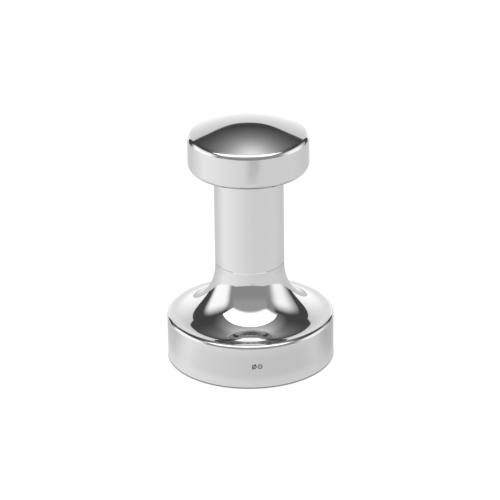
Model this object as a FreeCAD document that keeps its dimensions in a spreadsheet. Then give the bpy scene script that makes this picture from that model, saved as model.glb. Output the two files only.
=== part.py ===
import FreeCAD, Part
import math
import os

import Sketcher

# Espresso tamper, 58 mm, in polished stainless steel. It is a free-standing hand tool that
# comes apart on a bench: a piston whose flat top sweeps up into a trumpet flare, a plain neck
# and a domed knob. No fastener shows, so the pieces are screwed together along the axis. Each
# joint is a shoulder and a spigot in a socket, drawn together by a hidden stud with a real
# helical thread and sealed by a ring in the upper piece's face.
#
# Millimetres, +Z up, origin at the centre of the tamping face. The size mark faces -Y.

SIZES = {
    # piston and flare
    "base_diameter": 58.0,
    "rim_height": 16.2,
    "rim_round": 1.5,
    "flare_diameter": 50.9,
    "flare_height": 17.8,
    "flare_blend_round": 6.9,
    "least_land": 2.0,
    "collar_height": 1.5,
    "foot_round": 0.8,
    # neck
    "neck_diameter": 24.0,
    "neck_length": 34.2,
    "edge_break": 0.08,
    # knob
    "knob_diameter": 41.6,
    "knob_side_height": 12.8,
    "dome_height": 4.5,
    "knob_rim_round": 2.2,
    "knob_under_round": 2.8,
    # register at both joints: a spigot on the lower piece, a socket in the upper one
    "spigot_diameter": 16.0,
    "spigot_height": 3.0,
    "spigot_lead_in": 0.4,
    "register_clearance": 0.05,
    "socket_gap": 0.3,
    # sealing rings, drawn as thick as they are when the joint squeezes them
    "seal_thickness": 1.2,
    "seal_groove_side_gap": 0.1,
    "seal_groove_end_gap": 0.04,
    # stud between the base and the neck
    "base_stud_diameter": 10.0,
    "base_stud_pitch": 1.5,
    "base_stud_below": 12.0,
    "base_stud_above": 12.0,
    "base_stud_key": 5.0,
    "base_stud_key_depth": 4.0,
    # stud between the neck and the knob
    "knob_stud_diameter": 8.0,
    "knob_stud_pitch": 1.25,
    "knob_stud_below": 10.0,
    "knob_stud_above": 8.75,
    "knob_stud_key": 4.0,
    "knob_stud_key_depth": 3.5,
    # threads: how far the studs' profile is drawn in, and the gap past a stud's upper end
    "thread_clearance": 0.15,
    "stud_end_gap": 0.5,
    "stud_end_chamfer": 0.9,
    # engraved size mark, filled with enamel
    "mark_centre_height": 8.4,
    "mark_ring_diameter": 1.7,
    "mark_slash_length": 2.45,
    "mark_stroke": 0.34,
    "mark_spacing": 0.3,
    "mark_depth": 0.2,
    "mark_fill_recess": 0.05,
}

# Places that follow from the sizes, as expressions that the document works out.
BASE_RADIUS = "(Sizes.base_diameter / 2)"
NECK_RADIUS = "(Sizes.neck_diameter / 2)"
KNOB_RADIUS = "(Sizes.knob_diameter / 2)"
SPIGOT_RADIUS = "(Sizes.spigot_diameter / 2)"
SOCKET_RADIUS = f"({SPIGOT_RADIUS} + Sizes.register_clearance)"
SOCKET_DEPTH = "(Sizes.spigot_height + Sizes.socket_gap)"
# the flare and its blend give way on a small base, so that a flat land always stays
FLARE_ROOM = "Sizes.base_diameter / 2 - Sizes.rim_round - Sizes.least_land"
FLARE_RADIUS = f"min(Sizes.flare_diameter / 2; {FLARE_ROOM})"
FLARE_SPAN = f"({FLARE_RADIUS} - Sizes.neck_diameter / 2)"
FLARE_ARC = f"(({FLARE_SPAN}^2 + Sizes.flare_height^2) / (2 * {FLARE_SPAN}))"
FLARE_LEAN = f"(({FLARE_ARC} - {FLARE_SPAN}) / ({FLARE_ARC} + Sizes.flare_height))"
BLEND_ROOM = f"0.8 * Sizes.least_land / max({FLARE_LEAN}; 0.05)"
FLARE_BLEND = f"min(Sizes.flare_blend_round; {BLEND_ROOM})"
FLARE_TOP = "(Sizes.rim_height + Sizes.flare_height)"
BASE_SEAT = f"({FLARE_TOP} + Sizes.collar_height)"
KNOB_SEAT = f"({BASE_SEAT} + Sizes.neck_length)"
KNOB_RIM = f"({KNOB_SEAT} + Sizes.knob_side_height)"
KNOB_TOP = f"({KNOB_RIM} + Sizes.dome_height)"
SEAL_RADIUS = f"(({SPIGOT_RADIUS} + {NECK_RADIUS}) / 2)"
SEAL_HALF_GROOVE = "(Sizes.seal_thickness / 2 + Sizes.seal_groove_side_gap)"
SEAL_GROOVE_DEPTH = "(Sizes.seal_thickness + Sizes.seal_groove_end_gap)"
MARK_FLOOR = f"({BASE_RADIUS} - Sizes.mark_depth)"

# ISO metric thread shape, as shares of the pitch.
PITCH_LINE = 0.3248  # from the major radius in to the pitch line
STUD_ROOT = 0.6134  # from the major radius in to the stud's root
HOLE_CREST = 0.5413  # from the major radius in to the tapped hole's crest
FLANK = math.tan(math.radians(30))  # a flank's run along the axis for each unit of radius
STUD_OVERCUT = 0.08  # how far a stud's cutter stands out of the bar
HOLE_OVERCUT = 0.15  # how far a tapping cutter stands into the hole
RELIEF_PITCHES = 2  # height of the turned relief at a tapped hole's blind end
SLASH_LEAN = 60  # degrees from level of the stroke through the diameter sign

EXPORTED = ("base", "size_mark", "base_stud", "base_seal", "neck", "knob_stud", "knob_seal", "knob")


class Stud:
    """Expressions for one threaded stud and for the holes that it screws into."""

    def __init__(self, name, seat):
        self.name = name
        self.seat = seat
        self.pitch = f"Sizes.{name}_pitch"
        self.radius = f"(Sizes.{name}_diameter / 2)"
        self.bottom = f"({seat} + Sizes.spigot_height - Sizes.{name}_below)"
        self.top = f"({seat} + Sizes.spigot_height + Sizes.{name}_above)"
        self.hole_end = f"({self.top} + Sizes.stud_end_gap)"
        self.hole_radius = f"({self.radius} - {HOLE_CREST} * {self.pitch})"
        self.relief_radius = f"({self.radius} + Sizes.thread_clearance)"
        self.relief_height = f"({RELIEF_PITCHES} * {self.pitch})"

    def turn_at_or_above(self, height):
        """The lowest height, at or above the given one, where the tapped groove crosses +X."""
        return f"({self.seat} - floor(({self.seat} - {height}) / {self.pitch}) * {self.pitch})"


BASE_STUD = Stud("base_stud", BASE_SEAT)
KNOB_STUD = Stud("knob_stud", KNOB_SEAT)


def make_sheet(doc):
    sheet = doc.addObject("Spreadsheet::Sheet", "Sizes")
    for row, (alias, value) in enumerate(SIZES.items(), start=1):
        sheet.set(f"A{row}", alias)
        sheet.set(f"B{row}", str(value))
        sheet.setAlias(f"B{row}", alias)
    doc.recompute()
    return sheet


def bind(thing, **expressions):
    """Binds properties to expressions; a double underscore in a name stands for a dot."""
    for name, expression in expressions.items():
        thing.setExpression(name.replace("__", "."), str(expression))


def new_body(doc, name):
    body = doc.addObject("PartDesign::Body", name)
    body.Label = name
    return body


def lathe_sketch(body, name, corners, arcs=None):
    """A closed half section on the XZ plane: corners are (radius, height) expressions.

    arcs maps the index of the corner that an arc starts from to the height of its centre,
    or to "axis" for a centre on the axis. Every other side is straight.
    """
    arcs = arcs or {}
    sketch = body.newObject("Sketcher::SketchObject", name)
    plane = next(item for item in body.Origin.OriginFeatures if item.Role == "XZ_Plane")
    sketch.AttachmentSupport = [(plane, "")]
    sketch.MapMode = "FlatFace"
    points = [
        FreeCAD.Vector(sketch.evalExpression(str(r)), sketch.evalExpression(str(z)), 0)
        for r, z in corners
    ]
    starts = []
    for index, start in enumerate(points):
        end = points[(index + 1) % len(points)]
        if index in arcs:
            starts.append(add_arc(sketch, start, end, arcs[index]))
        else:
            sketch.addGeometry(Part.LineSegment(start, end))
            starts.append((1, 2))
    for index in range(len(points)):
        after = (index + 1) % len(points)
        sketch.addConstraint(
            Sketcher.Constraint("Coincident", index, starts[index][1], after, starts[after][0])
        )
    for index, (radius, height) in enumerate(corners):
        pin(sketch, "X", index, starts[index][0], radius)
        pin(sketch, "Y", index, starts[index][0], height)
    for index, centre in arcs.items():
        pin(sketch, "X" if centre == "axis" else "Y", index, 3, 0 if centre == "axis" else centre)
    return sketch


def add_arc(sketch, start, end, centre):
    """Adds an arc centred on the axis or at a height, and gives its end points' numbers."""
    if centre == "axis":
        middle_height = (start.y + end.y) / 2
        slope = (end.y - start.y) / (end.x - start.x)
        middle = FreeCAD.Vector(0, middle_height + (start.x + end.x) / 2 / slope, 0)
    else:
        height = sketch.evalExpression(centre)
        across = (end.x**2 - start.x**2 + (end.y - height) ** 2 - (start.y - height) ** 2) / 2
        middle = FreeCAD.Vector(across / (end.x - start.x), height, 0)
    ray_start, ray_end = start - middle, end - middle
    circle = Part.Circle(middle, FreeCAD.Vector(0, 0, 1), ray_start.Length)
    first = math.atan2(ray_start.y, ray_start.x)
    last = math.atan2(ray_end.y, ray_end.x)
    forward = ray_start.cross(ray_end).z > 0
    if forward:
        sketch.addGeometry(Part.ArcOfCircle(circle, first, last))
        return 1, 2
    sketch.addGeometry(Part.ArcOfCircle(circle, last, first))
    return 2, 1


def pin(sketch, axis, geometry, point, expression):
    """Fixes one coordinate of a point to an expression, or to the sketch's own axis at zero."""
    if str(expression) == "0":
        line = -2 if axis == "X" else -1
        sketch.addConstraint(Sketcher.Constraint("PointOnObject", geometry, point, line))
        return
    value = sketch.evalExpression(str(expression))
    constraint = Sketcher.Constraint(f"Distance{axis}", -1, 1, geometry, point, value)
    number = sketch.addConstraint(constraint)
    sketch.setExpression(f"Constraints[{number}]", str(expression))


def turn(body, name, corners, arcs=None, cut=False):
    """Revolves a half section about the axis, as new material or as a cut."""
    sketch = lathe_sketch(body, f"{name}_section", corners, arcs)
    kind = "PartDesign::Groove" if cut else "PartDesign::Revolution"
    feature = body.newObject(kind, name)
    feature.Profile = sketch
    feature.ReferenceAxis = (sketch, ["V_Axis"])
    feature.Angle = 360
    body.Document.recompute()
    return feature


def circle_edges(feature, radius, height):
    """Names of the feature's circular edges about the axis with that radius and height."""
    radius = feature.evalExpression(radius)
    height = feature.evalExpression(height)
    close = 1e-4
    names = []
    for number, edge in enumerate(feature.Shape.Edges, start=1):
        if edge.Degenerated or not isinstance(edge.Curve, Part.Circle):
            continue
        centre = edge.Curve.Center
        if abs(edge.Curve.Radius - radius) < close and abs(centre.z - height) < close:
            names.append(f"Edge{number}")
    if not names:
        raise RuntimeError(f"{feature.Name} has no edge of radius {radius} at height {height}")
    return names


def dress(body, kind, name, radius, height, size):
    """Rounds or chamfers the edge of that radius and height on the body's last feature."""
    below = body.Tip
    feature = body.newObject(f"PartDesign::{kind}", name)
    feature.Base = (below, circle_edges(below, radius, height))
    feature.setExpression("Radius" if kind == "Fillet" else "Size", size)
    body.Document.recompute()
    return feature


def cut_thread(body, name, corners, pitch, height):
    """Cuts one groove of a right-hand thread, up from where the section lies, by that height."""
    before = body.Shape.Volume
    sketch = lathe_sketch(body, f"{name}_section", corners)
    feature = body.newObject("PartDesign::SubtractiveHelix", name)
    feature.Profile = sketch
    feature.ReferenceAxis = (sketch, ["V_Axis"])
    feature.Mode = "pitch-height-angle"
    bind(feature, Pitch=pitch, Height=height)
    body.Document.recompute()
    if not feature.Shape.Volume < before:
        raise RuntimeError(f"{name} cut nothing")
    return feature


def groove_corners(inner, outer, inner_half, outer_half, middle):
    """Corners of a thread cutter's section, which is symmetric about its middle height."""
    return [
        (inner, f"{middle} - {inner_half}"),
        (outer, f"{middle} - {outer_half}"),
        (outer, f"{middle} + {outer_half}"),
        (inner, f"{middle} + {inner_half}"),
    ]


def thread_bar(body, stud):
    """Threads a bar from end to end, in phase with the holes that it screws into."""
    pitch = stud.pitch
    outer = f"({stud.radius} - Sizes.thread_clearance + {STUD_OVERCUT} * {pitch})"
    inner = f"({stud.radius} - Sizes.thread_clearance - {STUD_ROOT} * {pitch})"
    inner_half = 0.25 - (STUD_ROOT - PITCH_LINE) * FLANK
    outer_half = 0.25 + (PITCH_LINE + STUD_OVERCUT) * FLANK
    start = f"({stud.turn_at_or_above(stud.bottom)} - 1.5 * {pitch})"
    corners = groove_corners(
        inner, outer, f"{inner_half} * {pitch}", f"{outer_half} * {pitch}", start
    )
    cut_thread(body, "thread", corners, pitch, f"{stud.top} - {start} + {pitch}")


def tap(body, name, stud, start, end):
    """Taps a hole with the groove's middle going from one height up to another."""
    pitch = stud.pitch
    outer = stud.radius
    inner = f"({stud.hole_radius} - {HOLE_OVERCUT} * {pitch})"
    inner_half = 0.25 + (HOLE_CREST - PITCH_LINE + HOLE_OVERCUT) * FLANK
    outer_half = 0.25 - PITCH_LINE * FLANK
    corners = groove_corners(
        inner, outer, f"{inner_half} * {pitch}", f"{outer_half} * {pitch}", start
    )
    cut_thread(body, name, corners, pitch, f"{end} - {start}")


def tapped_from_above(body, stud):
    """A flat-bottomed tapped hole in a lower piece's spigot; the stud stands on its floor."""
    mouth = f"({stud.seat} + Sizes.spigot_height)"
    relief_top = f"({stud.bottom} + {stud.relief_height})"
    turn(
        body,
        f"{stud.name}_hole",
        [
            (0, stud.bottom),
            (stud.relief_radius, stud.bottom),
            (stud.relief_radius, relief_top),
            (stud.hole_radius, relief_top),
            (stud.hole_radius, mouth),
            (0, mouth),
        ],
        cut=True,
    )
    start = stud.turn_at_or_above(f"({stud.bottom} + {stud.pitch} / 2)")
    tap(body, f"{stud.name}_tapping", stud, start, f"({mouth} + {stud.pitch})")


def socket_from_below(body, stud):
    """A socket for the spigot below, the tapped hole above it and the ring's groove round it."""
    floor_height = f"({stud.seat} + {SOCKET_DEPTH})"
    relief_bottom = f"({stud.hole_end} - {stud.relief_height})"
    turn(
        body,
        f"{stud.name}_socket",
        [
            (0, stud.seat),
            (SOCKET_RADIUS, stud.seat),
            (SOCKET_RADIUS, floor_height),
            (stud.hole_radius, floor_height),
            (stud.hole_radius, relief_bottom),
            (stud.relief_radius, relief_bottom),
            (stud.relief_radius, stud.hole_end),
            (0, stud.hole_end),
        ],
        cut=True,
    )
    seal_inner = f"({SEAL_RADIUS} - {SEAL_HALF_GROOVE})"
    seal_outer = f"({SEAL_RADIUS} + {SEAL_HALF_GROOVE})"
    seal_top = f"({stud.seat} + {SEAL_GROOVE_DEPTH})"
    turn(
        body,
        f"{stud.name}_seal_groove",
        [
            (seal_inner, stud.seat),
            (seal_outer, stud.seat),
            (seal_outer, seal_top),
            (seal_inner, seal_top),
        ],
        cut=True,
    )
    tap(body, f"{stud.name}_tapping", stud, stud.seat, f"({relief_bottom} + {stud.pitch})")


def make_base_blank(doc):
    """The piston, its trumpet flare and the spigot that centres the neck, before engraving."""
    body = new_body(doc, "base_blank")
    spigot_top = f"({BASE_SEAT} + Sizes.spigot_height)"
    turn(
        body,
        "turned_shape",
        [
            (0, 0),
            (BASE_RADIUS, 0),
            (BASE_RADIUS, "Sizes.rim_height"),
            (FLARE_RADIUS, "Sizes.rim_height"),
            (NECK_RADIUS, FLARE_TOP),
            (NECK_RADIUS, BASE_SEAT),
            (SPIGOT_RADIUS, BASE_SEAT),
            (SPIGOT_RADIUS, spigot_top),
            (0, spigot_top),
        ],
        arcs={3: FLARE_TOP},
    )
    dress(body, "Fillet", "foot_edge", BASE_RADIUS, "0", "Sizes.foot_round")
    dress(body, "Fillet", "rim_edge", BASE_RADIUS, "Sizes.rim_height", "Sizes.rim_round")
    dress(body, "Fillet", "flare_blend", FLARE_RADIUS, "Sizes.rim_height", FLARE_BLEND)
    dress(body, "Chamfer", "seat_edge", NECK_RADIUS, BASE_SEAT, "Sizes.edge_break")
    dress(body, "Chamfer", "lead_in", SPIGOT_RADIUS, spigot_top, "Sizes.spigot_lead_in")
    tapped_from_above(body, BASE_STUD)
    return body


def make_neck(doc):
    """The neck: a socket and tapped hole below, a spigot and tapped hole above."""
    body = new_body(doc, "neck")
    spigot_top = f"({KNOB_SEAT} + Sizes.spigot_height)"
    turn(
        body,
        "turned_shape",
        [
            (0, BASE_SEAT),
            (NECK_RADIUS, BASE_SEAT),
            (NECK_RADIUS, KNOB_SEAT),
            (SPIGOT_RADIUS, KNOB_SEAT),
            (SPIGOT_RADIUS, spigot_top),
            (0, spigot_top),
        ],
    )
    dress(body, "Chamfer", "lower_edge", NECK_RADIUS, BASE_SEAT, "Sizes.edge_break")
    dress(body, "Chamfer", "upper_edge", NECK_RADIUS, KNOB_SEAT, "Sizes.edge_break")
    dress(body, "Chamfer", "lead_in", SPIGOT_RADIUS, spigot_top, "Sizes.spigot_lead_in")
    socket_from_below(body, BASE_STUD)
    tapped_from_above(body, KNOB_STUD)
    return body


def make_knob(doc):
    """The mushroom knob: a straight side between two rounded edges, under a shallow dome."""
    body = new_body(doc, "knob")
    turn(
        body,
        "turned_shape",
        [(0, KNOB_SEAT), (KNOB_RADIUS, KNOB_SEAT), (KNOB_RADIUS, KNOB_RIM), (0, KNOB_TOP)],
        arcs={2: "axis"},
    )
    dress(body, "Fillet", "rim_edge", KNOB_RADIUS, KNOB_RIM, "Sizes.knob_rim_round")
    dress(body, "Fillet", "under_edge", KNOB_RADIUS, KNOB_SEAT, "Sizes.knob_under_round")
    socket_from_below(body, KNOB_STUD)
    return body


def make_stud(doc, stud):
    """A set screw used as a stud: chamfered ends, a hexagon socket on top, one thread throughout."""
    body = new_body(doc, stud.name)
    radius = f"({stud.radius} - Sizes.thread_clearance)"
    tip = f"({radius} - Sizes.stud_end_chamfer)"
    turn(
        body,
        "bar",
        [
            (0, stud.bottom),
            (tip, stud.bottom),
            (radius, f"({stud.bottom} + Sizes.stud_end_chamfer)"),
            (radius, f"({stud.top} - Sizes.stud_end_chamfer)"),
            (tip, stud.top),
            (0, stud.top),
        ],
    )
    thread_bar(body, stud)
    socket = body.newObject("PartDesign::SubtractivePrism", "key_socket")
    socket.Polygon = 6
    depth = f"Sizes.{stud.name}_key_depth"
    bind(
        socket,
        Circumradius=f"Sizes.{stud.name}_key / sqrt(3)",
        Height=depth,
        Placement__Base__z=f"{stud.top} - {depth}",
    )
    doc.recompute()
    return body


def make_seal(doc, name, seat):
    """An elastomer ring that lies in the upper piece's groove and presses on the shoulder below."""
    ring = doc.addObject("Part::Torus", name)
    ring.Label = name
    half_gap = "Sizes.seal_groove_end_gap / 2"
    bind(
        ring,
        Radius1=SEAL_RADIUS,
        Radius2="Sizes.seal_thickness / 2",
        Placement__Base__z=f"{seat} + {half_gap} + Sizes.seal_thickness / 2",
    )
    return ring


def mark_disc(doc, name, radius, across):
    """A disc that points out through the base's wall, for the size mark."""
    disc = doc.addObject("Part::Cylinder", name)
    outwards = FreeCAD.Rotation(FreeCAD.Vector(1, 0, 0), 90)
    disc.Placement = FreeCAD.Placement(FreeCAD.Vector(), outwards)
    bind(
        disc,
        Radius=radius,
        Height="2 * Sizes.mark_depth",
        Placement__Base__x=across,
        Placement__Base__y=f"-{MARK_FLOOR}",
        Placement__Base__z="Sizes.mark_centre_height",
    )
    return disc


def mark_ring(doc, name, across):
    """A ring one stroke wide, for the size mark."""
    ring = doc.addObject("Part::Cut", name)
    radius = "Sizes.mark_ring_diameter / 2"
    ring.Base = mark_disc(doc, f"{name}_outside", radius, across)
    ring.Tool = mark_disc(doc, f"{name}_inside", f"{radius} - Sizes.mark_stroke", across)
    return ring


def mark_slash(doc, name, across):
    """The leaning stroke through a diameter sign, centred on the sign's ring."""
    slash = doc.addObject("Part::Box", name)
    lean = math.radians(SLASH_LEAN)
    turned = FreeCAD.Rotation(FreeCAD.Vector(0, 1, 0), -SLASH_LEAN)
    slash.Placement = FreeCAD.Placement(FreeCAD.Vector(), turned)
    cosine, sine = math.cos(lean), math.sin(lean)
    half_length = "(Sizes.mark_slash_length / 2)"
    half_stroke = "(Sizes.mark_stroke / 2)"
    drop = f"({half_length} * {sine} + {half_stroke} * {cosine})"
    bind(
        slash,
        Length="Sizes.mark_slash_length",
        Width="2 * Sizes.mark_depth",
        Height="Sizes.mark_stroke",
        Placement__Base__x=f"{across} - {half_length} * {cosine} + {half_stroke} * {sine}",
        Placement__Base__y=f"-({MARK_FLOOR} + 2 * Sizes.mark_depth)",
        Placement__Base__z=f"Sizes.mark_centre_height - {drop}",
    )
    return slash


def make_symbols(doc):
    """A diameter sign and a centre mark, from the engraving's floor out past the wall."""
    aside = "((Sizes.mark_ring_diameter + Sizes.mark_spacing) / 2)"
    symbols = doc.addObject("Part::MultiFuse", "mark_symbols")
    symbols.Shapes = [
        mark_ring(doc, "diameter_ring", f"-{aside}"),
        mark_slash(doc, "diameter_slash", f"-{aside}"),
        mark_ring(doc, "centre_ring", aside),
        mark_disc(doc, "centre_dot", "0.6 * Sizes.mark_stroke", aside),
    ]
    return symbols


def engrave(doc, blank):
    """Cuts the size mark into the base and fills it with enamel, a little below the wall."""
    symbols = make_symbols(doc)
    base = doc.addObject("Part::Cut", "base")
    base.Base = blank
    base.Tool = symbols
    base.Label = "base"
    within = doc.addObject("Part::Cylinder", "enamel_limit")
    bind(within, Radius=f"{BASE_RADIUS} - Sizes.mark_fill_recess", Height="Sizes.rim_height")
    enamel = doc.addObject("Part::Common", "size_mark")
    enamel.Base = symbols
    enamel.Tool = within
    enamel.Label = "size_mark"
    return base


def check(doc):
    """Stops the build if any object failed or any exported piece isn't a sound solid."""
    for item in doc.Objects:
        if {"Invalid", "Error"} & set(item.State):
            raise RuntimeError(f"{item.Name} failed: {item.State}")
    for name in EXPORTED:
        shape = find(doc, name).Shape
        if shape.isNull() or not shape.isValid() or not shape.Solids:
            raise RuntimeError(f"{name} isn't a sound solid")


def find(doc, label):
    return doc.getObjectsByLabel(label)[0]


def export(doc):
    os.makedirs("parts", exist_ok=True)
    for name in EXPORTED:
        shape = find(doc, name).Shape
        shape.exportStep(f"parts/{name}.step")
        print(f"{name}: {len(shape.Solids)} solid, {shape.Volume:.1f} mm3")


def main():
    doc = FreeCAD.newDocument("tamper")
    make_sheet(doc)
    engrave(doc, make_base_blank(doc))
    make_stud(doc, BASE_STUD)
    make_seal(doc, "base_seal", BASE_SEAT)
    make_neck(doc)
    make_stud(doc, KNOB_STUD)
    make_seal(doc, "knob_seal", KNOB_SEAT)
    make_knob(doc)
    doc.recompute()
    check(doc)
    export(doc)


main()
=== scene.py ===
import math

import bpy
from mathutils import Matrix, Vector
from mathutils.geometry import delaunay_2d_cdt


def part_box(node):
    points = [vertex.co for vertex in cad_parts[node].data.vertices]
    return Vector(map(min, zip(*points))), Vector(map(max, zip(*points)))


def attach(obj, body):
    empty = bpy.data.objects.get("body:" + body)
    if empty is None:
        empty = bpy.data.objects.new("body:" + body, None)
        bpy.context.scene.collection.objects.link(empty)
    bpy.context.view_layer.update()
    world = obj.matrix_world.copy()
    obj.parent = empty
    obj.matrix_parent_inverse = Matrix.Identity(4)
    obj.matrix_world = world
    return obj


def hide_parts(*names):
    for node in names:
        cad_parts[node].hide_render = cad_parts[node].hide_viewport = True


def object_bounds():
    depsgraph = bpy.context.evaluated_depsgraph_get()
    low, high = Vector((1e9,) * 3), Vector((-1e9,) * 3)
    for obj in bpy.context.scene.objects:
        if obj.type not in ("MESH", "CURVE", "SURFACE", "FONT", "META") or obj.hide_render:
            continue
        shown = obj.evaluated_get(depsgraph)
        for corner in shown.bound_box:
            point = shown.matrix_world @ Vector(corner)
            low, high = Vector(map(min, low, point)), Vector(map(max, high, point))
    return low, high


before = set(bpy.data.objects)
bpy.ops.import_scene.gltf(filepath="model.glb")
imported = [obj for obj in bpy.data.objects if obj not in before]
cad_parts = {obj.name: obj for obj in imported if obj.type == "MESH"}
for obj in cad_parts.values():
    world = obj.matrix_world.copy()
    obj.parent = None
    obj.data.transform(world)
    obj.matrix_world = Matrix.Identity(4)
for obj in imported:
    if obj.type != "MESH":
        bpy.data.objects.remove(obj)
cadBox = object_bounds()
mm = 0.001
print("packed model loaded")


# a wrapped shader socket, so that materials read as expressions
class Link:
    def __init__(self, graph, socket):
        self.graph = graph
        self.socket = socket

    def maths(self, operation, *values):
        return self.graph.node("ShaderNodeMath", {"operation": operation}, dict(enumerate(values)))

    def __add__(self, other):
        return self.maths("ADD", self, other)

    def __sub__(self, other):
        return self.maths("SUBTRACT", self, other)

    def __rsub__(self, other):
        return self.maths("SUBTRACT", other, self)

    def __mul__(self, other):
        return self.maths("MULTIPLY", self, other)

    def __truediv__(self, other):
        return self.maths("DIVIDE", self, other)

    def __rtruediv__(self, other):
        return self.maths("DIVIDE", other, self)

    def __pow__(self, other):
        return self.maths("POWER", self, other)

    def __neg__(self):
        return self.maths("MULTIPLY", self, -1)

    __radd__ = __add__
    __rmul__ = __mul__

    def size(self):
        return self.maths("ABSOLUTE", self)

    def atLeast(self, other):
        return self.maths("MAXIMUM", self, other)

    def atMost(self, other):
        return self.maths("MINIMUM", self, other)

    # 0 at low, 1 at high and smooth between; low may be the greater, for a fall
    def rise(self, low, high):
        return self.graph.node(
            "ShaderNodeMapRange",
            {"interpolation_type": "SMOOTHSTEP"},
            {"Value": self, "From Min": low, "From Max": high},
        )


class Graph:
    def __init__(self, tree):
        self.tree = tree
        tree.nodes.clear()

    # settings go on first, because they decide which sockets a node has
    def node(self, kind, settings=None, sockets=None, output=0):
        made = self.tree.nodes.new(kind)
        for name, value in (settings or {}).items():
            setattr(made, name, value)
        for name, value in (sockets or {}).items():
            if isinstance(value, Link):
                self.tree.links.new(value.socket, made.inputs[name])
            else:
                made.inputs[name].default_value = value
        return Link(self, made.outputs[output]) if len(made.outputs) else None

    def parts(self, vector):
        split = self.node("ShaderNodeSeparateXYZ", sockets={"Vector": vector}).socket.node
        return [Link(self, split.outputs[axis]) for axis in "XYZ"]

    def vector(self, x, y, z):
        return self.node("ShaderNodeCombineXYZ", sockets={"X": x, "Y": y, "Z": z})

    def noise(self, place, scale, detail, **settings):
        sockets = {"Vector": place, "Scale": scale, "Detail": detail}
        return self.node("ShaderNodeTexNoise", settings, sockets)

    def mix(self, share, first, second):
        sockets = {0: share, 6: grey(first), 7: grey(second)}
        return self.node("ShaderNodeMix", {"data_type": "RGBA"}, sockets, output=2)


def grey(value):
    return (value, value, value, 1)


def newMaterial(name):
    material = bpy.data.materials.new(name)
    material.use_nodes = True
    return material, Graph(material.node_tree)


view = {
    "azimuth": -4.1,       # degrees round from straight in front, negative towards -X
    "elevation": 24.0,
    "distance": 1.0,
    "pivotHeight": 45 * mm,
    "aimHeight": 39.1 * mm,
    "aimAside": 0.14 * mm,
    "lens": 208.6,
    "roll": -0.73,
    "sensor": 36,
    "clip": (0.05, 60),
}
heading = Matrix.Rotation(math.radians(view["azimuth"]), 4, "Z")


def addCamera():
    up = math.radians(view["elevation"])
    away = view["distance"]
    place = heading @ Vector((0, -away * math.cos(up), away * math.sin(up)))
    place.z += view["pivotHeight"]
    aim = Vector((view["aimAside"], 0, view["aimHeight"]))
    data = bpy.data.cameras.new("studioCamera")
    data.lens = view["lens"]
    data.sensor_width = view["sensor"]
    data.clip_start, data.clip_end = view["clip"]
    camera = bpy.data.objects.new("studioCamera", data)
    bpy.context.collection.objects.link(camera)
    look = (aim - place).to_track_quat("-Z", "Y").to_matrix().to_4x4()
    spin = Matrix.Rotation(math.radians(view["roll"]), 4, "Z")
    camera.matrix_world = Matrix.Translation(place) @ look @ spin
    bpy.context.scene.camera = camera
    bpy.context.scene.view_settings.view_transform = "Standard"


# throughout the studio, lengths are in metres and brightness 1 is plain white
room = {
    "dark": 0.09,              # unlit, between the lights
    "front": 0.42,             # the camera's side
    "high": 0.12,              # added to it higher up
    "frontFrom": (0.1, 0.4),
    "highFrom": (0.2, 0.55),
}


# the unlit room all round; the camera itself sees plain white
def addWorld():
    world = bpy.data.worlds.new("studioWorld")
    bpy.context.scene.world = world
    world.use_nodes = True
    graph = Graph(world.node_tree)
    around = graph.node("ShaderNodeTexCoord", output="Generated")
    spin = {"Vector": around, "Angle": -math.radians(view["azimuth"])}
    turned = graph.node("ShaderNodeVectorRotate", {"rotation_type": "Z_AXIS"}, spin)
    _, y, z = graph.parts(turned)
    front = room["front"] + z.rise(*room["highFrom"]) * room["high"]
    light = ((-y).rise(*room["frontFrom"]) * front).atLeast(room["dark"])
    ray = graph.node("ShaderNodeLightPath", output="Is Camera Ray")
    background = graph.node("ShaderNodeBackground", sockets={"Color": light * (1 - ray) + ray})
    graph.node("ShaderNodeOutputWorld", sockets={"Surface": background})


# a flat lit rectangle, brightness being worked out from its own x and y in metres
def addGlowingSheet(name, corners, matrix, brightness, shown):
    mesh = bpy.data.meshes.new(name)
    (left, low), (right, high) = corners
    ring = [(left, low, 0), (right, low, 0), (right, high, 0), (left, high, 0)]
    mesh.from_pydata(ring, [], [(0, 1, 2, 3)])
    material, graph = newMaterial(name)
    x, y, _ = graph.parts(graph.node("ShaderNodeTexCoord", output="Object"))
    glow = graph.node("ShaderNodeEmission", sockets={"Color": brightness(graph, x, y)})
    graph.node("ShaderNodeOutputMaterial", sockets={"Surface": glow})
    mesh.materials.append(material)
    sheet = bpy.data.objects.new(name, mesh)
    bpy.context.collection.objects.link(sheet)
    sheet.matrix_world = matrix
    sheet.visible_camera = shown


table = {
    "light": 1.11,
    "sides": 0.12,               # added on both sides
    "left": 0.15,                # added on the left and taken off the right
    "behind": 0.36,              # taken off behind, more of it on the left
    "behindLeft": 0.16,
    "frontShade": 0.12,          # a dim band in front of the foot
    "frontShadeFacing": (0.2, 0.7),
    "frontShadeNear": (0.034, 0.040),
    "frontShadeFar": (0.064, 0.050),
    "sideShade": 0.33,           # and one beside it
    "sideShadeAlong": (-0.020, 0.004),
    "sideShadeAway": (0.100, 0.045),
    "nearShade": 0.22,           # a dim patch at the table's near edge
    "nearShadeAlong": (-0.180, -0.205),
    "nearShadeAside": (0.07, 0.01),
    "nearMiddle": 0.035,
    "frontEdge": -0.27,
    "halfWidth": 0.30,
    "shadowReach": 0.6 * mm,     # how far from the foot it darkens
    "shadowSamples": 8,
    "seen": 1.05,                # as the camera sees it
}


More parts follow.
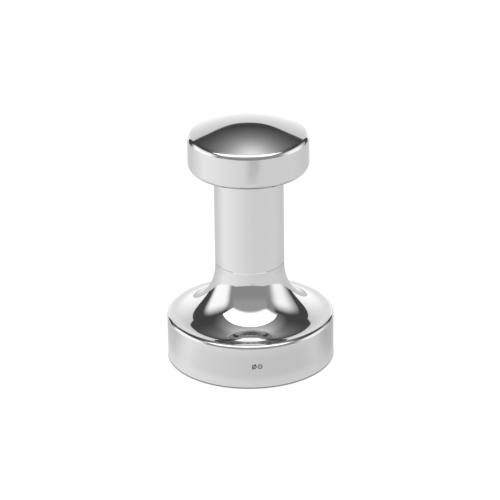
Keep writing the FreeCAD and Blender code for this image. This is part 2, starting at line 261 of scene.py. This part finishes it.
def tableLight(graph, x, y):
    away = (x ** 2 + y ** 2) ** 0.5 + 0.001   # never quite 0, as the next lines divide by it
    aside, behind = x / away, (y / away).atLeast(0)
    light = table["light"] + aside ** 2 * table["sides"] - aside * table["left"]
    light = light - behind * (table["behind"] - aside * table["behindLeft"])
    front = away.rise(*table["frontShadeNear"]) * away.rise(*table["frontShadeFar"])
    front = front * (-y / away).rise(*table["frontShadeFacing"])
    side = y.rise(*table["sideShadeAlong"]) * away.rise(*table["sideShadeAway"])
    near = (x - table["nearMiddle"]).size().rise(*table["nearShadeAside"])
    near = near * y.rise(*table["nearShadeAlong"])
    light = light * (1 - front * table["frontShade"]) * (1 - side * table["sideShade"])
    light = light * (1 - near * table["nearShade"])
    samples, reach = {"samples": table["shadowSamples"]}, {"Distance": table["shadowReach"]}
    unshaded = graph.node("ShaderNodeAmbientOcclusion", samples, reach, output="AO")
    ray = graph.node("ShaderNodeLightPath", output="Is Camera Ray")
    return (light * (1 - ray) + ray * table["seen"]) * unshaded


panelAway = 0.235              # from the axis, on all three sides
panelFoot = 1 * mm             # they stand clear of the table by this
backPanel = {
    "halfWidth": 0.19,
    "sheetTop": 0.24,
    "light": 1.45,
    "fall": 0.45,              # dimmer towards the top
    "fallFrom": (0.02, 0.24),
    "top": 0.194,              # in the middle, softened over the edge
    "edge": 0.004,
    "sides": 0.038,            # how much higher its two sides stand
    "sidesFrom": (0.01, 0.10),
}


def backLight(graph, x, y):
    top = backPanel["top"] + x.size().rise(*backPanel["sidesFrom"]) * backPanel["sides"]
    light = backPanel["light"] - y.rise(*backPanel["fallFrom"]) * backPanel["fall"]
    light = light * y.rise(top + backPanel["edge"], top - backPanel["edge"])
    return light.atLeast(room["dark"])


# both side lights run into the dim room towards the camera
leftPanel = {
    "halfWidth": 0.22,
    "sheetTop": 0.25,
    "light": 1.70,
    "rise": (-0.20, -0.06),
    "fall": (0.18, 0.08),
    "top": (0.245, 0.12),
    "room": (-0.06, -0.16),
}
rightPanel = {
    "halfWidth": 0.22,
    "sheetTop": 0.25,
    "light": 1.17,
    "rise": (-0.19, -0.02),
    "fall": (0.17, 0.03),
    "wide": 0.45,              # a weaker light over its whole width
    "wideRise": (-0.20, -0.16),
    "top": (0.245, 0.12),
    "room": (0.05, 0.12),
}


def leftLight(graph, x, y):
    light = x.rise(*leftPanel["rise"]) * x.rise(*leftPanel["fall"])
    light = light * y.rise(*leftPanel["top"]) * leftPanel["light"]
    return light.atLeast(room["dark"]).atLeast(x.rise(*leftPanel["room"]) * room["front"])


def rightLight(graph, x, y):
    light = x.rise(*rightPanel["rise"]) * x.rise(*rightPanel["fall"]) * rightPanel["light"]
    light = light + x.rise(*rightPanel["wideRise"]) * rightPanel["wide"]
    light = (light * y.rise(*rightPanel["top"])).atLeast(room["dark"])
    return light.atLeast(x.rise(*rightPanel["room"]) * room["front"])


softBox = {
    "height": 0.303,
    "left": -0.29,
    "right": 0.28,
    "front": -0.29,
    "back": -0.06,
    "light": 3.0,
    "edgeLight": 0.5,
    "frontFull": -0.18,        # where it reaches its full light
    "rightFull": 0.19,
}


def boxLight(graph, x, y):
    lit = y.rise(softBox["front"], softBox["frontFull"])
    lit = lit * x.rise(softBox["right"], softBox["rightFull"])
    return softBox["edgeLight"] + lit * (softBox["light"] - softBox["edgeLight"])


# what the soft box throws on the ceiling behind it
ceiling = {
    "back": 0.42,
    "light": 1.5,
    "most": 1.35,
    "middle": (0.008, 0.04),
    "reach": (0.057, 0.085),
    "widens": 0.5,             # and how much it widens towards the box
    "widensBefore": 0.075,
}


def glowLight(graph, x, y):
    (aside, behind), (wide, long) = ceiling["middle"], ceiling["reach"]
    wide = wide + (ceiling["widensBefore"] - y).atLeast(0) * ceiling["widens"]
    spread = ((x - aside) / wide) ** 2 + ((y - behind) / long) ** 2
    return (ceiling["light"] / (1 + spread)).atMost(ceiling["most"]).atLeast(room["dark"])


def addStudio():
    wide = table["halfWidth"]
    ground = heading @ Matrix.Translation((0, 0, cadBox[0][2]))
    corners = ((-wide, table["frontEdge"]), (wide, panelAway))
    addGlowingSheet("lightTable", corners, ground, tableLight, True)
    overhead = ground @ Matrix.Translation((0, 0, softBox["height"]))
    corners = ((softBox["left"], softBox["front"]), (softBox["right"], softBox["back"]))
    addGlowingSheet("softBox", corners, overhead, boxLight, False)
    corners = ((-wide, softBox["back"]), (wide, ceiling["back"]))
    addGlowingSheet("ceilingGlow", corners, overhead, glowLight, False)
    standing = Matrix.Rotation(math.radians(90), 4, "X")
    for name, turn, panel, brightness in (
        ("backPanel", 0, backPanel, backLight),
        ("leftPanel", 90, leftPanel, leftLight),
        ("rightPanel", -90, rightPanel, rightLight),
    ):
        spin = Matrix.Rotation(math.radians(turn), 4, "Z")
        matrix = heading @ spin @ Matrix.Translation((0, panelAway, 0)) @ standing
        corners = ((-panel["halfWidth"], panelFoot), (panel["halfWidth"], panel["sheetTop"]))
        addGlowingSheet(name, corners, matrix, brightness, False)


addCamera()
addWorld()
addStudio()
print("camera and studio ready")


turning = {
    "segments": 384,       # round the axis
    "spigotRadius": 8.0,   # every joint's register and ring, in mm
    "spigotHeight": 3.0,
    "leadIn": 0.4,
    "socketRadius": 8.05,
    "socketDepth": 3.3,
    "edgeBreak": 0.08,
    "ringGroove": (9.3, 10.7, 1.24),
    "holeEnd": 0.5,        # left beyond the stud's end
    "relief": 0.15,        # how far the hole opens past the thread, and over how many turns
    "reliefTurns": 2,
}

# in mm; below and above are how far each reaches from its seat
studs = {
    "base_stud": {"radius": 5.0, "pitch": 1.5, "below": 9.0, "above": 15.0},
    "knob_stud": {"radius": 4.0, "pitch": 1.25, "below": 7.0, "above": 11.75},
}


# shares of the pitch
screwThread = {
    "depth": 0.5413,
    "floorEnd": 1 / 16,    # half the width of the groove's flat floor
    "crestStart": 3 / 8,   # where its slope meets the crest
}


# where a tapped thread's wall is at one height, going round; its groove meets +X at the seat
def threadRadius(stud, seat, height):
    crest = stud["radius"] - screwThread["depth"] * stud["pitch"]
    floorEnd, crestStart = screwThread["floorEnd"], screwThread["crestStart"]

    def radiusAt(angle):
        phase = ((height - seat) / stud["pitch"] - angle / (2 * math.pi)) % 1
        share = (min(phase, 1 - phase) - floorEnd) / (crestStart - floorEnd)
        return stud["radius"] + (crest - stud["radius"]) * min(max(share, 0), 1)

    return radiusAt


# an outline of straight runs and arcs, walked with the metal on its left, in mm
class Profile:
    def __init__(self, radius, height):
        self.runs = []
        self.end = (radius, height)

    def add(self, *strip):
        self.runs.append(("strip", strip))
        self.end = strip[-1][:2]

    # a level run; facing is 1 for up and -1 for down, and the radius may change going round
    def level(self, radius, facing):
        height = self.end[1]
        self.add((self.end[0], height, 0, facing), (radius, height, 0, facing))

    def line(self, radius, height):
        run = (Vector((radius, height)) - Vector(self.end)).normalized()
        self.add((*self.end, run.y, -run.x), (radius, height, run.y, -run.x))

    # bulge is 1 where the arc's middle is inside the metal and -1 where it is outside
    def arc(self, middle, size, first, last, steps, bulge=1):
        strip = []
        for step in range(steps + 1):
            angle = math.radians(first + (last - first) * step / steps)
            out, up = math.cos(angle), math.sin(angle)
            strip.append((middle[0] + size * out, middle[1] + size * up, bulge * out, bulge * up))
        self.add(*strip)

    def thread(self, stud, seat, low, high):
        self.runs.append(("thread", (stud, seat, low, high)))
        self.end = (threadRadius(stud, seat, low), low)

    def wall(self, high):
        radius, low = self.end
        self.runs.append(("engravedWall", (radius, low, high)))
        self.end = (radius, high)

    # the spigot on top of a piece, down its tapped hole and back to the axis
    def spigot(self, stud, seat):
        radius, top = turning["spigotRadius"], seat + turning["spigotHeight"]
        lead = turning["leadIn"]
        self.level(radius, 1)
        self.line(radius, top - lead)
        self.line(radius - lead, top)
        floor = seat - stud["below"]
        relief = floor + turning["reliefTurns"] * stud["pitch"]
        wide = stud["radius"] + turning["relief"]
        self.level(threadRadius(stud, seat, top), 1)
        self.thread(stud, seat, relief, top)
        self.level(wide, -1)
        self.line(wide, floor)
        self.level(0, 1)

    # from the axis down the tapped hole, out of the socket and round the ring's groove
    def socket(self, stud, seat):
        floor = seat + turning["socketDepth"]
        relief = self.end[1] - turning["reliefTurns"] * stud["pitch"]
        wide = stud["radius"] + turning["relief"]
        inner, outer, depth = turning["ringGroove"]
        self.level(wide, -1)
        self.line(wide, relief)
        self.level(threadRadius(stud, seat, relief), 1)
        self.thread(stud, seat, floor, relief)
        self.level(turning["socketRadius"], -1)
        self.line(turning["socketRadius"], seat)
        self.level(inner, -1)
        self.line(inner, seat + depth)
        self.level(outer, -1)
        self.line(outer, seat)


def unit(vector):
    return tuple(Vector(vector).normalized())


class LatheMesh:
    def __init__(self):
        self.points = []
        self.lookup = {}
        self.faces = []
        self.normals = []

    def point(self, x, y, z):
        key = (round(x, 5), round(y, 5), round(z, 5))
        if key not in self.lookup:
            self.lookup[key] = len(self.points)
            self.points.append((x * mm, y * mm, z * mm))
        return self.lookup[key]

    # corners are ((x, y, z), normal); corners that meet are dropped, and None means flat
    def face(self, corners):
        used, kept = [], []
        for place, normal in corners:
            index = self.point(*place)
            if index not in used:
                used.append(index)
                kept.append((place, normal))
        if len(used) < 3:
            return
        first, second, third = (Vector(place) for place, _ in kept[:3])
        flat = unit((second - first).cross(third - first))
        self.faces.append(used)
        self.normals.extend(normal or flat for _, normal in kept)

    def angle(self, step):
        return 2 * math.pi * step / turning["segments"]

    def around(self, radius, height, step):
        angle = self.angle(step % turning["segments"])
        if callable(radius):
            radius = radius(self.angle(step))
        return (radius * math.cos(angle), radius * math.sin(angle), height)

    def strip(self, *rows, skip=()):
        for lower, upper in zip(rows, rows[1:]):
            for step in range(turning["segments"]):
                if step in skip:
                    continue
                corners = []
                for (radius, height, out, up), turn in (
                    (lower, step), (lower, step + 1), (upper, step + 1), (upper, step)
                ):
                    angle = self.angle(turn)
                    normal = (out * math.cos(angle), out * math.sin(angle), up)
                    corners.append((self.around(radius, height, turn), normal))
                self.face(corners)

    # rows follow the groove's corners up the helix and are cut off level at both ends
    def thread(self, stud, seat, low, high):
        pitch = stud["pitch"]
        start = seat + math.floor((low - seat) / pitch) * pitch
        turns = math.ceil((high - start) / pitch) + 2
        floorEnd, crestStart = screwThread["floorEnd"], screwThread["crestStart"]
        bends = (floorEnd, crestStart, 1 - crestStart, 1 - floorEnd)
        rows = [turn + bend for turn in range(turns) for bend in bends]

        def corner(row, step):
            height = start + pitch * (row - 1 + step / turning["segments"])
            height = min(max(height, low), high)
            return (self.around(threadRadius(stud, seat, height), height, step), None)

        for lower, upper in zip(rows, rows[1:]):
            for step in range(turning["segments"]):
                ends = (upper, step), (upper, step + 1), (lower, step + 1), (lower, step)
                self.face([corner(*end) for end in ends])

    # the straight wall, with the size mark sunk into the few columns that face -Y
    def engravedWall(self, radius, low, high):
        front = turning["segments"] * 3 // 4
        reach = sizeMark["columns"]
        columns = range(front - reach, front + reach)
        self.strip((radius, low, 1, 0), (radius, high, 1, 0), skip=columns)
        steps = range(front - reach, front + reach + 1)
        acrosses = [radius * math.cos(self.angle(step)) for step in steps]
        corners, edges = [], []
        for count, across in enumerate(acrosses):
            corners += [Vector((across, low)), Vector((across, high))]
            edges.append((2 * count, 2 * count + 1))
            if count:
                edges += [(2 * count - 2, 2 * count), (2 * count - 1, 2 * count + 1)]
        for outline in markOutlines():
            first = len(corners)
            corners += outline
            edges += [(first + n, first + (n + 1) % len(outline)) for n in range(len(outline))]
        places, _, faces = delaunay_2d_cdt(corners, edges, [], 0, sizeMark["merge"])[:3]
        bottom = -(radius - sizeMark["depth"])

        def onWall(index):
            x, z = places[index]
            y = -math.sqrt(radius ** 2 - x ** 2)
            return ((x, y, z), (x / radius, y / radius, 0))

        def onFloor(index):
            return ((places[index].x, bottom, places[index].y), (0, -1, 0))

        def sides(face):
            return list(zip(face, face[1:] + face[:1]))

        def middle(face):
            return sum((places[n] for n in face), Vector((0, 0))) / len(face)

        sunk = [face for face in faces if inMark(middle(face))]
        sunkSides = {side for face in sunk for side in sides(face)}
        for face in faces:
            self.face([onFloor(n) if face in sunk else onWall(n) for n in face])
        for first, second in sunkSides:
            if (second, first) not in sunkSides:
                ring = [onWall(first), onWall(second), onFloor(second), onFloor(first)]
                self.face([(place, None) for place, _ in ring])

    def build(self, name, material, body, node):
        mesh = bpy.data.meshes.new(name)
        mesh.from_pydata(self.points, [], self.faces)
        mesh.polygons.foreach_set("use_smooth", [True] * len(mesh.polygons))
        mesh.normals_split_custom_set(self.normals)
        mesh.materials.append(material)
        made = bpy.data.objects.new(name, mesh)
        bpy.context.collection.objects.link(made)
        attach(made, body)
        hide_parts(node)


def turnPiece(name, profile, material, body, node):
    lathe = LatheMesh()
    for kind, values in profile.runs:
        getattr(lathe, kind)(*values)
    lathe.build(name, material, body, node)
    print(name, "turned:", len(lathe.faces), "faces")


def boxOf(node):
    low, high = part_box(node)
    return high.x / mm, low.z / mm, high.z / mm


# a noise is its scale and detail; a From pair is where it starts and stops to show
steel = {
    "colour": 0.56,
    "wornColour": 0.62,
    "roughness": 0.045,
    "lineNoise": (5000, 4),    # turned lines left by polishing
    "lineDepth": 4e-8,
    "dentNoise": (160, 2),
    "dentDepth": 6e-7,
    "smudgeNoise": (70, 5),
    "smudgeFrom": (0.35, 0.75),
    "smudges": 0.03,
    "speckNoise": (900, 2),
    "speckFrom": (0.62, 0.8),
    "specks": 0.02,
    "wearNoise": (400, 4),
    "wearFrom": (0.35, 0.7),
    "wear": 0.07,              # added roughness on the foot's edge and the rims
    "footWear": (1.1 * mm, 0.2 * mm),
    "rimHeight": 15.9 * mm,
    "rimWear": (0.8 * mm, 0.1 * mm),
    "footOut": (27.8 * mm, 28.8 * mm),
    "rimOut": (27.5 * mm, 28.8 * mm),
}


def surface(name):
    material, graph = newMaterial(name)
    return material, graph, graph.node("ShaderNodeTexCoord", output="Object")


# how high a spot is, and how far from the axis
def heightAndRadius(graph, place):
    x, y, z = graph.parts(place)
    return z, (x ** 2 + y ** 2) ** 0.5


# depth is in metres
def finish(graph, depth, sockets):
    bump = graph.node("ShaderNodeBump", sockets={"Strength": 1, "Distance": 1, "Height": depth})
    shader = graph.node("ShaderNodeBsdfPrincipled", sockets={**sockets, "Normal": bump})
    graph.node("ShaderNodeOutputMaterial", sockets={"Surface": shader})


def polishedSteel():
    material, graph, place = surface("polishedSteel")
    height, radius = heightAndRadius(graph, place)
    turned = graph.vector(radius, height, 0)
    lines = graph.noise(turned, *steel["lineNoise"], noise_dimensions="2D")
    smudges = graph.noise(place, *steel["smudgeNoise"]).rise(*steel["smudgeFrom"])
    specks = graph.noise(place, *steel["speckNoise"]).rise(*steel["speckFrom"])
    foot = height.rise(*steel["footWear"]) * radius.rise(*steel["footOut"])
    rim = (height - steel["rimHeight"]).size().rise(*steel["rimWear"])
    rim = rim * radius.rise(*steel["rimOut"])
    worn = (foot + rim) * graph.noise(place, *steel["wearNoise"]).rise(*steel["wearFrom"])
    roughness = steel["roughness"] + smudges * steel["smudges"] + worn * steel["wear"]
    dents = graph.noise(place, *steel["dentNoise"])
    finish(graph, lines * steel["lineDepth"] + dents * steel["dentDepth"], {
        "Base Color": graph.mix(worn, steel["colour"], steel["wornColour"]),
        "Metallic": 1,
        "Roughness": roughness + specks * steel["specks"],
    })
    return material


studFinish = {
    "colour": 0.42,
    "oiledColour": 0.30,
    "oilNoise": (300, 4),
    "oilFrom": (0.4, 0.7),
    "oilGloss": 0.06,
    "roughness": 0.24,
    "lineNoise": (3500, 3),
    "lineDepth": 1.5e-6,
    "lineRoughness": 0.12,
}


def studSteel():
    material, graph, place = surface("studSteel")
    height, radius = heightAndRadius(graph, place)
    turned = graph.vector(radius, height, 0)
    lines = graph.noise(turned, *studFinish["lineNoise"], noise_dimensions="2D")
    oil = graph.noise(place, *studFinish["oilNoise"]).rise(*studFinish["oilFrom"])
    roughness = studFinish["roughness"] + lines * studFinish["lineRoughness"]
    finish(graph, lines * studFinish["lineDepth"], {
        "Base Color": graph.mix(oil, studFinish["colour"], studFinish["oiledColour"]),
        "Metallic": 1,
        "Roughness": roughness - oil * studFinish["oilGloss"],
    })
    return material


sealFinish = {
    "colour": 0.018,
    "dustyColour": 0.05,
    "dustNoise": (500, 4),
    "dustFrom": (0.5, 0.8),
    "roughness": 0.55,
    "grainNoise": (4000, 3),
    "grainRoughness": 0.2,
    "grainDepth": 8e-6,
}


def sealRubber():
    material, graph, place = surface("sealRubber")
    grain = graph.noise(place, *sealFinish["grainNoise"])
    dust = graph.noise(place, *sealFinish["dustNoise"]).rise(*sealFinish["dustFrom"])
    finish(graph, grain * sealFinish["grainDepth"], {
        "Base Color": graph.mix(dust, sealFinish["colour"], sealFinish["dustyColour"]),
        "Roughness": sealFinish["roughness"] + grain * sealFinish["grainRoughness"],
    })
    return material


enamelFinish = {
    "colour": 0.045,
    "fadedColour": 0.09,
    "fadedFrom": (0.4, 0.7),
    "roughness": 0.3,
    "rippleNoise": (2500, 3),
    "rippleRoughness": 0.2,
    "rippleDepth": 4e-6,
}


def markEnamel():
    material, graph, place = surface("markEnamel")
    ripple = graph.noise(place, *enamelFinish["rippleNoise"])
    faded = ripple.rise(*enamelFinish["fadedFrom"])
    finish(graph, ripple * enamelFinish["rippleDepth"], {
        "Base Color": graph.mix(faded, enamelFinish["colour"], enamelFinish["fadedColour"]),
        "Roughness": enamelFinish["roughness"] + ripple * enamelFinish["rippleRoughness"],
    })
    return material


# a diameter sign and a centre mark, side by side
sizeMark = {
    "height": 8.4,
    "aside": 1.0,
    "ring": (0.85, 0.51),
    "slash": (2.45, 0.34, 60),   # length, stroke and lean from level
    "dot": 0.204,
    "ringSides": (64, 48),
    "dotSides": 24,
    "depth": 0.2,
    "columns": 6,                # of the wall on each side of -Y that it may use
    "merge": 1e-6,               # corners nearer than this become one
}


# the middles of the two signs, and the way the slash runs
def markPlaces():
    left = Vector((-sizeMark["aside"], sizeMark["height"]))
    right = Vector((sizeMark["aside"], sizeMark["height"]))
    lean = math.radians(sizeMark["slash"][2])
    return left, right, Vector((math.cos(lean), math.sin(lean)))


def markOutlines():
    left, right, run = markPlaces()
    rings = list(zip(sizeMark["ring"], sizeMark["ringSides"]))
    circles = [(middle, *ring) for middle in (left, right) for ring in rings]
    outlines = []
    for middle, radius, count in circles + [(right, sizeMark["dot"], sizeMark["dotSides"])]:
        turns = [2 * math.pi * n / count for n in range(count)]
        spots = [Vector((math.cos(turn), math.sin(turn))) for turn in turns]
        outlines.append([middle + radius * spot for spot in spots])
    length, stroke, _ = sizeMark["slash"]
    along, off = run * length / 2, Vector((-run.y, run.x)) * stroke / 2
    ends = [(-1, -1), (1, -1), (1, 1), (-1, 1)]
    outlines.append([left + along * a + off * b for a, b in ends])
    return outlines


def inMark(spot):
    left, right, run = markPlaces()
    left, right = spot - left, spot - right
    outer, inner = sizeMark["ring"]
    length, stroke, _ = sizeMark["slash"]
    along, off = abs(left.dot(run)), abs(left.cross(run))
    onSlash = along < length / 2 and off < stroke / 2
    onRing = inner < left.length < outer or inner < right.length < outer
    return onSlash or onRing or right.length < sizeMark["dot"]


base = {
    "footRound": 0.8,
    "rimHeight": 16.2,
    "rimRound": 1.5,
    "flareRadius": 25.45,
    "flareHeight": 17.8,
    "blendRound": 6.9,
    "footSteps": 12,
    "rimSteps": 24,
    "blendSteps": 16,
    "flareSteps": 90,
}


def baseProfile():
    radius, floor, top = boxOf("base")
    neckRadius = boxOf("neck")[0]
    seat = top - turning["spigotHeight"]
    foot, rim, rimHeight = base["footRound"], base["rimRound"], base["rimHeight"]
    profile = Profile(0, floor)
    profile.level(radius - foot, -1)
    profile.arc((radius - foot, floor + foot), foot, -90, 0, base["footSteps"])
    profile.wall(rimHeight - rim)
    profile.arc((radius - rim, rimHeight - rim), rim, 0, 90, base["rimSteps"])

    # the flare stands upright at the neck, and a blend brings it down level with the rim
    across, rise = base["flareRadius"] - neckRadius, base["flareHeight"]
    size = (across ** 2 + rise ** 2) / (2 * across)
    blend = base["blendRound"]
    middle = (neckRadius + size, rimHeight + rise)
    blendOut = middle[0] - math.sqrt((size - blend) ** 2 - (rise - blend) ** 2)
    lean = math.degrees(math.asin((middle[0] - blendOut) / (size - blend)))
    profile.level(blendOut, 1)
    blendMiddle = (blendOut, rimHeight + blend)
    profile.arc(blendMiddle, blend, -90, -90 - lean, base["blendSteps"], bulge=-1)
    profile.arc(middle, size, -90 - lean, -180, base["flareSteps"], bulge=-1)
    profile.line(neckRadius, seat - turning["edgeBreak"])
    profile.line(neckRadius - turning["edgeBreak"], seat)
    profile.spigot(studs["base_stud"], seat)
    return profile


def neckProfile():
    radius, low, top = boxOf("neck")
    seat, edge = top - turning["spigotHeight"], turning["edgeBreak"]
    below = studs["base_stud"]
    profile = Profile(0, low + below["above"] + turning["holeEnd"])
    profile.socket(below, low)
    profile.level(radius - edge, -1)
    profile.line(radius, low + edge)
    profile.line(radius, seat - edge)
    profile.line(radius - edge, seat)
    profile.spigot(studs["knob_stud"], seat)
    return profile


knob = {"rimDrop": 4.5, "rimRound": 2.2, "underRound": 2.8, "roundSteps": 24, "domeSteps": 60}


def knobProfile():
    radius, low, top = boxOf("knob")
    drop, under, rim = knob["rimDrop"], knob["underRound"], knob["rimRound"]
    dome = (radius ** 2 + drop ** 2) / (2 * drop)
    middle = top - dome
    rimMiddle = middle + math.sqrt((dome - rim) ** 2 - (radius - rim) ** 2)
    lean = math.degrees(math.atan2(rimMiddle - middle, radius - rim))
    below = studs["knob_stud"]
    profile = Profile(0, low + below["above"] + turning["holeEnd"])
    profile.socket(below, low)
    profile.level(radius - under, -1)
    profile.arc((radius - under, low + under), under, -90, 0, knob["roundSteps"])
    profile.line(radius, rimMiddle)
    profile.arc((radius - rim, rimMiddle), rim, 0, lean, knob["roundSteps"])
    profile.arc((0, middle), dome, lean, 90, knob["domeSteps"])
    return profile


polished = polishedSteel()
turnPiece("pistonAndFlare", baseProfile(), polished, "base", "base")
turnPiece("neckStem", neckProfile(), polished, "neck", "neck")
turnPiece("domedKnob", knobProfile(), polished, "knob", "knob")

plated, rubber = studSteel(), sealRubber()
finishes = {
    "size_mark": markEnamel(),
    "base_stud": plated,
    "knob_stud": plated,
    "base_seal": rubber,
    "knob_seal": rubber,
}
for node, material in finishes.items():
    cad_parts[node].data.materials[0] = material
print("finishes ready")
